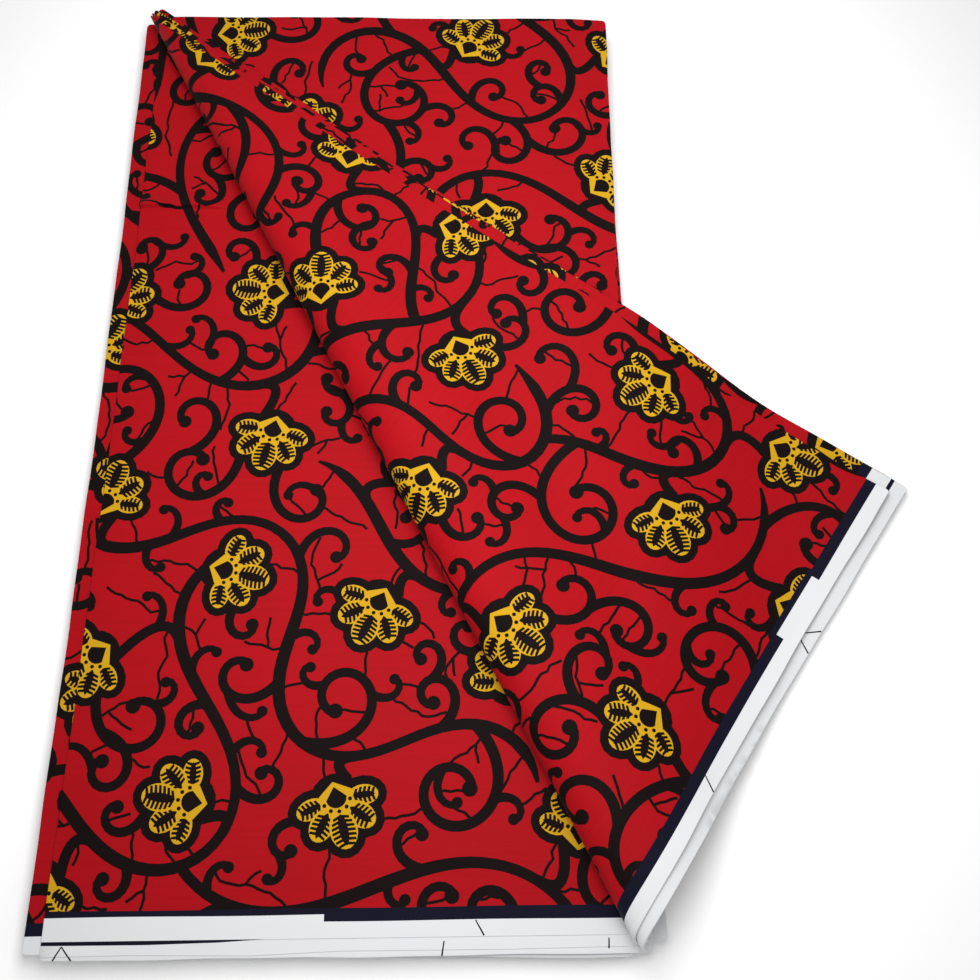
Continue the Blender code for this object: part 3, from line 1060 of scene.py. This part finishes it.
PRINT_MIDDLE = np.array([155.5, 304.5])


def other_part(shapes):
    """The same print as another leaf shows it, with the repeat turned half round."""
    return [(dye, 2 * PRINT_MIDDLE - outline) for dye, outline in shapes]


front_print = print_shapes(seed=4)
second_shapes = only_near_edges(other_part(front_print), SECOND_LEAF, reach=34.0)
second_shapes += band_shapes(SECOND_LEAF, SECOND_LEAF_BANDS, seed=3)
second_cloth = printed_leaf(
    "second_leaf_cloth",
    leaf_outline(SECOND_LEAF, seed=21),
    second_shapes,
    lying_flat(SECOND_LEAF_BASE, FLAT_LEAF_WALL),
)
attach(second_cloth, "root")
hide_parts("second_leaf")

# The front leaf
# The uppermost of the leaves that still lie flat, whose lower left half shows beside the roll. It is
# doubled cotton: at its near end the upper layer stops short of the lower one, and both end in a navy
# and a white selvedge band.

FRONT_LEAF = Leaf((7, 0), (312.5, 4), (307, 584), (10.5, 586), (11.2, 350))
FRONT_LEAF_BASE = 12.4
LAYER_STEP = 0.4
# Where each upper layer ends, as across the leaf and away from its selvedge
LAYER_EDGES = [
    [(-20, 8.5), (330, 8.5)],
    [(-20, 1.3), (45, 1.9), (105, 1.0), (150, 2.6), (235, 2.4), (330, 3.4)],
]
EDGE_SLOPE = 0.25
# A soft crease across the leaf, near its far end
CREASE_START = np.array([9.0, 441.0])
CREASE_END = np.array([73.0, 438.0])
CREASE_HEIGHT = 3.0
CREASE_NEAR_SIDE = 1.9
CREASE_FAR_SIDE = 9.0
# Lines along it that let the cloth bend, by how far they are beside it
CREASE_LINES = (-CREASE_NEAR_SIDE, -1.4, -0.95, -0.5, 0.0, 1.5, 3.5, 6.0, CREASE_FAR_SIDE)
FRONT_LEAF_BANDS = [
    Band(NAVY, -4.0, 22.7, -5, 320),
    Band(WHITE, -4.0, 16.4, -5, 320),
    Band(WHITE, 15.0, 19.7, -5, 141),
]
# A navy strip on the lower layer, as across the leaf and away from the selvedge, that runs out
LOWER_STRIP = [(-5, 6.7), (52, 6.5), (88, 7.2), (112, 8.5), (-5, 8.5)]
# The fine lines that the printer left on the selvedge, each by its two ends
Mark = namedtuple("Mark", "across away end_across end_away")
MARK_HALF_WIDTHS = np.array([0.32, 0.42])
FRONT_LEAF_MARKS = [
    Mark(10.5, 6.2, 6.3, -0.6),
    Mark(10.5, 6.2, 16.0, -0.6),
    Mark(201.3, 6.6, 200.2, -0.4),
    Mark(217.1, 16.2, 221.3, 8.8),
    Mark(283.7, 7.0, 283.5, 2.0),
]


def mark_shapes(leaf, marks):
    """The fine dark lines on a selvedge."""
    shapes = []
    for mark in marks:
        ends = [
            from_selvedge(leaf, mark.across, mark.away),
            from_selvedge(leaf, mark.end_across, mark.end_away),
        ]
        shapes += stroke_shapes(np.array(ends), MARK_HALF_WIDTHS, BLACK)
    return shapes


front_shapes = front_print + band_shapes(FRONT_LEAF, FRONT_LEAF_BANDS, seed=5)
lower_strip = [from_selvedge(FRONT_LEAF, across, away) for across, away in LOWER_STRIP]
front_shapes.append((NAVY, np.array(lower_strip)))
front_shapes += mark_shapes(FRONT_LEAF, FRONT_LEAF_MARKS)


def front_leaf_shape(flat):
    """The fine shape of the front leaf: its layers end in steps, and a crease stands up."""
    start = from_selvedge(FRONT_LEAF, 0.0, 0.0)
    ahead = from_selvedge(FRONT_LEAF, 1.0, 0.0) - start
    across = (flat - start) @ ahead
    away = (flat - start) @ np.array([-ahead[1], ahead[0]])
    steps = np.zeros(len(flat))
    for edge in LAYER_EDGES:
        ends = np.interp(across, [place[0] for place in edge], [place[1] for place in edge])
        steps += np.where(away < ends - EDGE_SLOPE / 2, LAYER_STEP, 0.0)
    crease = CREASE_END - CREASE_START
    share = (flat - CREASE_START) @ crease / crease.dot(crease)
    beside = (flat - CREASE_START) @ np.array([-crease[1], crease[0]]) / np.hypot(*crease)
    swell = 1.0 - np.where(beside < 0.0, -beside / CREASE_NEAR_SIDE, beside / CREASE_FAR_SIDE)
    swell = np.clip(swell, 0.0, 1.0) * (0.85 + 0.15 * np.sin(share * 9.0))
    fade = np.clip(np.minimum(share / 0.15 + 0.6, (1.0 - share) / 0.3), 0.0, 1.0)
    ridge = CREASE_HEIGHT * eased(swell) * fade
    return ridge - steps, ridge


# The longest piece of a line along which a leaf can bend
LINE_PIECE = 10.0


def in_pieces(start, end):
    """A line across a flat leaf in short pieces, so that the leaf can bend along the line too."""
    count = math.ceil(np.hypot(*(end - start)) / LINE_PIECE)
    spots = [start + (end - start) * piece / count for piece in range(count + 1)]
    return list(zip(spots, spots[1:]))


front_cuts = []
for edge in LAYER_EDGES:
    for (across, away), (next_across, next_away) in zip(edge, edge[1:]):
        for lower in (0.0, EDGE_SLOPE):
            front_cuts += in_pieces(
                from_selvedge(FRONT_LEAF, across, away - lower),
                from_selvedge(FRONT_LEAF, next_across, next_away - lower),
            )
for beside in CREASE_LINES:
    front_cuts += in_pieces(CREASE_START + (-12.0, beside), CREASE_END + (4.0, beside))
front_cloth = printed_leaf(
    "front_leaf_cloth",
    leaf_outline(FRONT_LEAF, seed=22),
    front_shapes,
    lying_flat(FRONT_LEAF_BASE, FLAT_LEAF_WALL, front_leaf_shape),
    front_cuts,
)
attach(front_cloth, "root")
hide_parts("front_leaf")

# The turned leaves
# Four leaves of doubled cotton whose lower left corner is turned back together. They lie flat on the
# right, go round a soft roll that is pinched at the far left corner and full at the near right one, and
# lie back over themselves as a flap, which hangs off the pack's right edge and down to the surface.

TURNED_LEAF_WALL = 1.2
LEAF_GAP = 0.3
ROLL_BASE = 19.4
TURNED_LEAVES = [
    Leaf((9, 16), (309, 8), (308, 582.5), (3.5, 585.5), (9.5, 330)),
    Leaf((1, 12), (307.5, 9), (306.5, 581.5), (3, 586), (7, 330)),
    Leaf((-2.5, 8), (307.5, 3), (306.5, 581.5), (2.5, 586.5), (5, 330)),
    Leaf((2.5, 14), (307, 7), (306, 581), (2, 587), (7, 330)),
]
TURNED_DEPTH = len(TURNED_LEAVES) * (TURNED_LEAF_WALL + LEAF_GAP) - LEAF_GAP

# The roll's outer left side runs straight between these two points
FOLD_FAR = np.array([3.0, 587.5])
FOLD_NEAR = np.array([304.0, 5.0])
FOLD_LENGTH = float(np.hypot(*(FOLD_NEAR - FOLD_FAR)))
FOLD_ALONG = (FOLD_NEAR - FOLD_FAR) / FOLD_LENGTH
FOLD_ACROSS = np.array([-FOLD_ALONG[1], FOLD_ALONG[0]])

# The inside of the roll, seen along it from the near end: the heading that each run has half-way, with
# 180 to the left, 90 up and 0 to the right, and its length at the roll's two ends
Run = namedtuple("Run", "heading far near")
RISING_RUNS = [
    Run(158, 0.30, 1.7),
    Run(135, 0.30, 1.7),
    Run(112, 0.30, 1.7),
    Run(88, 0.30, 1.7),
    Run(64, 0.30, 2.0),
    Run(44, 0.30, 2.4),
    Run(30, 0.40, 3.0),
    Run(20, 0.50, 3.6),
    Run(12, 0.60, 4.2),
    Run(5, 0.80, 5.0),
]
FALLING_RUNS = [
    Run(-3, 5.0, 6.0),
    Run(-9, 8.0, 10.0),
    Run(-14, 10.0, 16.0),
    Run(-14, 10.0, 16.0),
    Run(-9, 10.0, 12.0),
    Run(-4, 8.0, 8.0),
]
STEPS_IN_RUN = 8
# The roll fills out as far as the knee, and then stays nearly as full up to the near end
KNEE_PLACE = 0.4
KNEE_WIDTH = 0.16
KNEE_FULLNESS = 0.82

# The flap beyond the pack's right edge comes down to the surface over this stretch
DROOP_START = 311.0
DROOP_LENGTH = 95.0
# The flap's waves begin after this share of the roll's way round, and grow over this stretch
WAVES_START = 0.35
WAVES_LENGTH = 40.0


def roll_section(end):
    """The inside face of the roll at one end and the way out of it, at each of many steps."""
    runs = RISING_RUNS + FALLING_RUNS
    marks = np.concatenate([[0.0], np.arange(len(runs)) + 0.5, [len(runs)]])
    headings = [180.0] + [run.heading for run in runs] + [0.0]
    count = len(runs) * STEPS_IN_RUN
    middles = (np.arange(count) + 0.5) / STEPS_IN_RUN
    lengths = np.repeat([getattr(run, end) for run in runs], STEPS_IN_RUN) / STEPS_IN_RUN
    angles = np.radians(np.interp(middles, marks, headings))
    rising = len(RISING_RUNS) * STEPS_IN_RUN
    rise = np.sum((lengths * np.sin(angles))[:rising])
    fall = -np.sum((lengths * np.sin(angles))[rising:])
    lengths[rising:] *= (rise - LEAF_GAP) / fall
    moves = np.column_stack([np.cos(angles), np.sin(angles)]) * lengths[:, None]
    inside = np.vstack([[0.0, 0.0], np.cumsum(moves, axis=0)])
    ends = np.radians(np.interp(np.arange(count + 1) / STEPS_IN_RUN, marks, headings))
    return inside, np.column_stack([-np.sin(ends), np.cos(ends)])


ROLL_ENDS = [roll_section("far"), roll_section("near")]
ROLL_STARTS = [-(inside + out * TURNED_DEPTH)[:, 0].min() for inside, out in ROLL_ENDS]


def fullness(along):
    """How full the roll is at this distance along the fold: 0 at its far end and 1 at its near end."""
    share = along / FOLD_LENGTH
    before = KNEE_FULLNESS * share / KNEE_PLACE
    after = KNEE_FULLNESS + (1.0 - KNEE_FULLNESS) * (share - KNEE_PLACE) / (1.0 - KNEE_PLACE)
    bend = np.clip((share - KNEE_PLACE) / KNEE_WIDTH + 0.5, 0.0, 1.0)
    return before + (after - before) * bend


# How high the flap's two kinds of wave stand
LONG_RIPPLE = 0.9
SHORT_RIPPLE = 0.5


def flap_ripple(x, y):
    """Soft waves of the flap, along the fold and across it, which only lift it, in millimetres."""
    long_wave = 0.5 + 0.5 * np.sin((x * 0.46 - y * 0.89) / 34.0 + 0.8)
    short_wave = 0.5 + 0.5 * np.sin((x * 0.89 + y * 0.46) / 17.0 + 2.0)
    return LONG_RIPPLE * long_wave + SHORT_RIPPLE * short_wave


# How far each turned leaf's selvedge stands up on the flap, and over what width
SELVEDGE_LIFT = (0.0, 0.0, 0.0, 2.4)
LIFT_WIDTH = 15.0


def roll_start(full):
    """How far inside the fold's line the cloth starts to bend, where the roll is this full."""
    return ROLL_STARTS[0] + (ROLL_STARTS[1] - ROLL_STARTS[0]) * full


def used_lengths(number):
    """The cloth that a turned leaf has used up at each step round the roll, at the roll's two ends."""
    middle = number * (TURNED_LEAF_WALL + LEAF_GAP) + TURNED_LEAF_WALL / 2
    used = []
    for inside, out in ROLL_ENDS:
        face = inside + out * middle
        used.append(np.concatenate([[0.0], np.cumsum(np.hypot(*np.diff(face, axis=0).T))]))
    return used


def round_the_roll(number):
    """Gives a function that puts the points of a turned leaf in place. Leaf 0 is the innermost."""
    near_end = from_selvedge(TURNED_LEAVES[number], 0.0, 0.0)
    off_selvedge = from_selvedge(TURNED_LEAVES[number], 0.0, 1.0) - near_end
    inner = number * (TURNED_LEAF_WALL + LEAF_GAP)
    used = used_lengths(number)

    def place(flat, depth):
        offset = inner + TURNED_LEAF_WALL * depth
        from_far = flat - FOLD_FAR
        along = from_far @ FOLD_ALONG
        across = from_far @ FOLD_ACROSS
        full = fullness(along)
        start = roll_start(full)
        cloth = start - across
        lengths = used[0][None, :] + (used[1] - used[0])[None, :] * full[:, None]
        step = np.sum(lengths <= cloth[:, None], axis=1) - 1
        step = np.clip(step, 0, lengths.shape[1] - 2)
        rows = np.arange(len(flat))
        before, after = lengths[rows, step], lengths[rows, step + 1]
        share = (cloth - before) / np.maximum(after - before, 1e-6)
        faces = [inside + out * offset for inside, out in ROLL_ENDS]
        spots = []
        for place_step in (step, step + 1):
            spots.append(faces[0][place_step] + (faces[1][place_step] - faces[0][place_step]) * full[:, None])
        bent = spots[0] + (spots[1] - spots[0]) * np.clip(share, 0.0, 1.0)[:, None]
        beyond = np.maximum(cloth - lengths[:, -1], 0.0)
        new_across = np.where(cloth <= 0.0, across, start + bent[:, 0] + beyond)
        rise = np.where(cloth <= 0.0, -offset, bent[:, 1])
        ground = FOLD_FAR + FOLD_ALONG * along[:, None] + FOLD_ACROSS * new_across[:, None]
        x, y = ground[:, 0], ground[:, 1]
        down = eased((x - DROOP_START) / DROOP_LENGTH)
        height = ROLL_BASE + rise - down * (ROLL_BASE + LEAF_GAP)
        on_flap = np.clip((cloth - WAVES_START * lengths[:, -1]) / WAVES_LENGTH, 0.0, 1.0)
        height = height + on_flap * flap_ripple(x, y) + settled(x, y) * (1.0 - down)
        # the flap's selvedge stands up a little, more in some places than in others
        near = np.clip(1.0 - ((flat - near_end) @ off_selvedge) / LIFT_WIDTH, 0.0, 1.0)
        uneven = 0.75 + 0.25 * np.sin(flat[:, 0] / 19.0 + 1.0)
        height = height + SELVEDGE_LIFT[number] * on_flap * near * near * uneven
        return np.column_stack([ground, height])

    return place


# Stretches of the fold, as shares of its length, that are divided where the roll's fullness bends
FOLD_STRETCHES = [(-0.02, 0.32), (0.32, 0.40), (0.40, 0.48), (0.48, 1.02)]


def bend_lines(number):
    """Lines across a flat leaf, two for each run of the roll, along which the leaf bends."""
    used = used_lengths(number)
    lines = []
    for step in range(0, len(used[0]), STEPS_IN_RUN // 2):
        for first, last in FOLD_STRETCHES:
            ends = []
            for share in (first, last):
                along = FOLD_LENGTH * share
                full = float(fullness(np.array(along)))
                cloth = used[0][step] + (used[1][step] - used[0][step]) * full
                ends.append(FOLD_FAR + FOLD_ALONG * along + FOLD_ACROSS * (roll_start(full) - cloth))
            lines += in_pieces(*ends)
    return lines


SELVEDGE_BANDS = [
    Band(NAVY, -4.0, 14.3, -5, 330),
    Band(WHITE, -4.0, 8.0, -5, 330),
]
# The third leaf's selvedge is a wider one, with a second navy strip that runs out
WIDER_BANDS = [
    Band(NAVY, -4.0, 29.1, -5, 330),
    Band(WHITE, -4.0, 22.8, -5, 330),
    Band(NAVY, 8.3, 10.5, -5, 60),
]
# On the outermost leaf the navy band steps round a bare white patch
PATCHED_BANDS = [
    Band(NAVY, -4.0, 14.3, -5, 330),
    Band(NAVY, 12.0, 16.0, 66.5, 113.5),
    Band(WHITE, -4.0, 8.0, -5, 330),
    Band(WHITE, 6.0, 12.4, 69.4, 110.6),
]
WIDER_MARKS = [
    Mark(110.0, 8.5, 103.0, 0.2),
    Mark(113.0, 8.5, 118.0, 0.2),
]
PATCHED_MARKS = [Mark(201.0, 8.0, 206.0, 0.2)]
inner_print = print_shapes(seed=8)
outer_print = print_shapes(seed=7)
Turned = namedtuple("Turned", "print whole bands marks rests_on")
TURNED_WORK = [
    Turned(inner_print, True, SELVEDGE_BANDS, [], "front_leaf_cloth"),
    Turned(other_part(outer_print), False, SELVEDGE_BANDS, [], "turned_leaf_1_cloth"),
    Turned(other_part(inner_print), False, WIDER_BANDS, WIDER_MARKS, "turned_leaf_2_cloth"),
    Turned(outer_print, True, PATCHED_BANDS, PATCHED_MARKS, "turned_leaf_3_cloth"),
]
for number, (leaf, work) in enumerate(zip(TURNED_LEAVES, TURNED_WORK)):
    node = "turned_leaf_" + str(number + 1)
    shapes = list(work.print)
    if not work.whole:
        shapes = only_near_edges(shapes, leaf, reach=26.0)
    shapes += band_shapes(leaf, work.bands, seed=30 + number)
    shapes += mark_shapes(leaf, work.marks)
    cloth = printed_leaf(
        node + "_cloth",
        leaf_outline(leaf, seed=40 + number),
        shapes,
        round_the_roll(number),
        bend_lines(number),
    )
    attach(cloth, "root")
    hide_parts(node)

# The floor, the light and the camera
# A plain pale floor under one long softbox right above the middle of the pack, in a pale room, with the
# camera above the near end, looking down.

FLOOR_SIZE = 6.0
bpy.ops.object.select_all(action="DESELECT")
bpy.ops.mesh.primitive_plane_add(size=FLOOR_SIZE, location=(0.0, 0.0, 0.0))
floor = bpy.context.object
floor.name = "floor"
floor_paint = bpy.data.materials.new("pale_floor")
floor_paint.use_nodes = True
floor_shader = floor_paint.node_tree.nodes["Principled BSDF"]
floor_shader.inputs["Base Color"].default_value = (0.98, 0.98, 0.98, 1.0)
floor_shader.inputs["Roughness"].default_value = 0.9
floor_shader.inputs["Specular IOR Level"].default_value = 0.1
floor.data.materials.append(floor_paint)
floor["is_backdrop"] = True

ROOM_LIGHT = 0.56
scene = bpy.context.scene
scene.view_settings.view_transform = "Standard"
scene.world = bpy.data.worlds.new("soft_room")
scene.world.use_nodes = True
room = scene.world.node_tree.nodes["Background"]
room.inputs["Color"].default_value = (1.0, 1.0, 1.0, 1.0)
room.inputs["Strength"].default_value = ROOM_LIGHT

SOFTBOX_PLACE = (-0.02, 0.04, 0.39)
SOFTBOX_WIDTH = 0.26
SOFTBOX_LENGTH = 0.62
SOFTBOX_POWER = 2.48
softbox = bpy.data.lights.new("softbox", "AREA")
softbox.shape = "RECTANGLE"
softbox.size = SOFTBOX_WIDTH
softbox.size_y = SOFTBOX_LENGTH
softbox.energy = SOFTBOX_POWER
lamp = new_object("softbox", softbox)
lamp.visible_camera = False
lamp.location = SOFTBOX_PLACE

CAMERA_PLACE = Vector((-0.0054, -0.2793, 0.6354))
CAMERA_AIM = Vector((-0.0054, -0.0455, 0.0134))
LENS = 42.72
camera_data = bpy.data.cameras.new("camera")
camera_data.sensor_width = 36.0
camera_data.lens = LENS
camera = new_object("camera", camera_data)
camera.location = CAMERA_PLACE
camera.rotation_euler = (CAMERA_AIM - CAMERA_PLACE).to_track_quat("-Z", "Y").to_euler()
scene.camera = camera

low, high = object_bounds()
